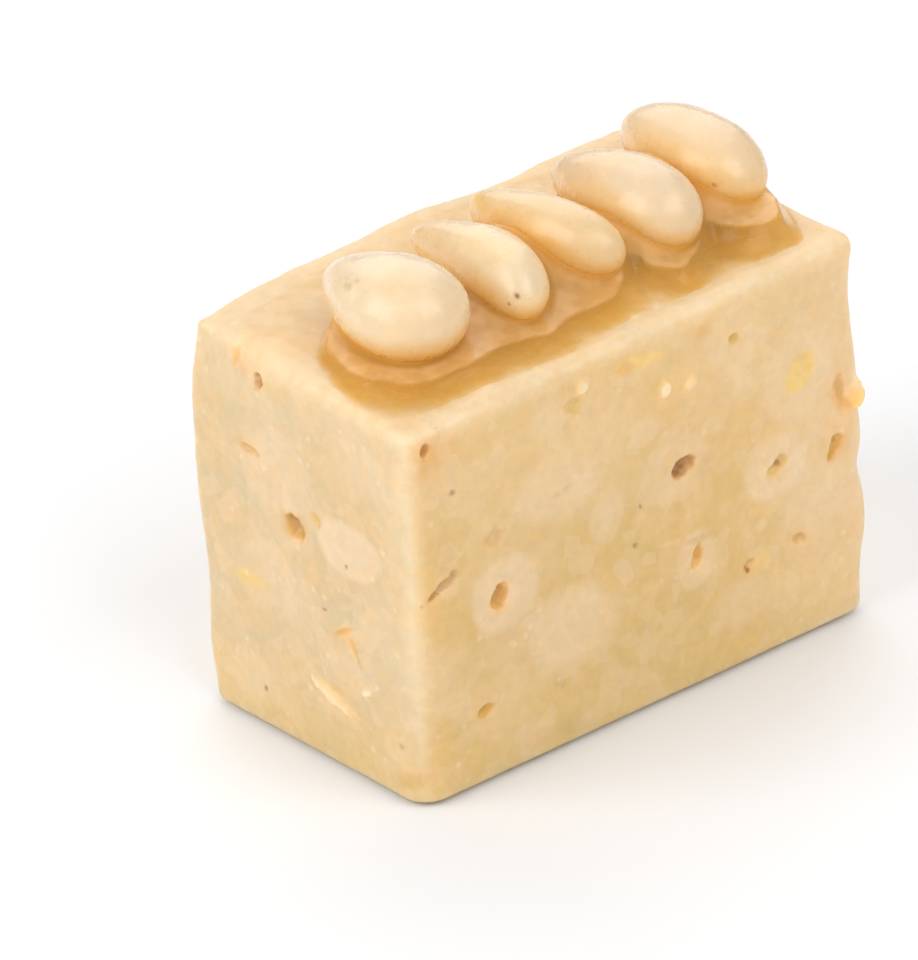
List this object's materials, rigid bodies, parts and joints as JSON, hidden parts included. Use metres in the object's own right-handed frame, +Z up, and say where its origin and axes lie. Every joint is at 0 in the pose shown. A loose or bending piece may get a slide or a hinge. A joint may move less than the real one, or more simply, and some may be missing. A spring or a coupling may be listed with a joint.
{
  "type": "pine nut almond pastry",
  "caption": "Small hand-cut block of almond paste with cut nuts showing in its faces and a row of whole glazed pine nuts along its top.",
  "frame": {"origin": "middle of the foot of the part's box, on the surface that the slab stands on", "axes": "+X along the slab's length, -Y out of the long cut face that the picture shows, +Z up"},
  "size_m": [0.0368, 0.0228, 0.0318],
  "materials": {
    "almond_paste": "moist, soft, slightly grainy cut paste",
    "pine_nut": "smooth, glossy from the sugar glaze"
  },
  "bodies": {
    "root": {"slab": "almond_paste", "pine_nut_1": "pine_nut", "pine_nut_2": "pine_nut", "pine_nut_3": "pine_nut", "pine_nut_4": "pine_nut", "pine_nut_5": "pine_nut"}
  },
  "joints": []
}
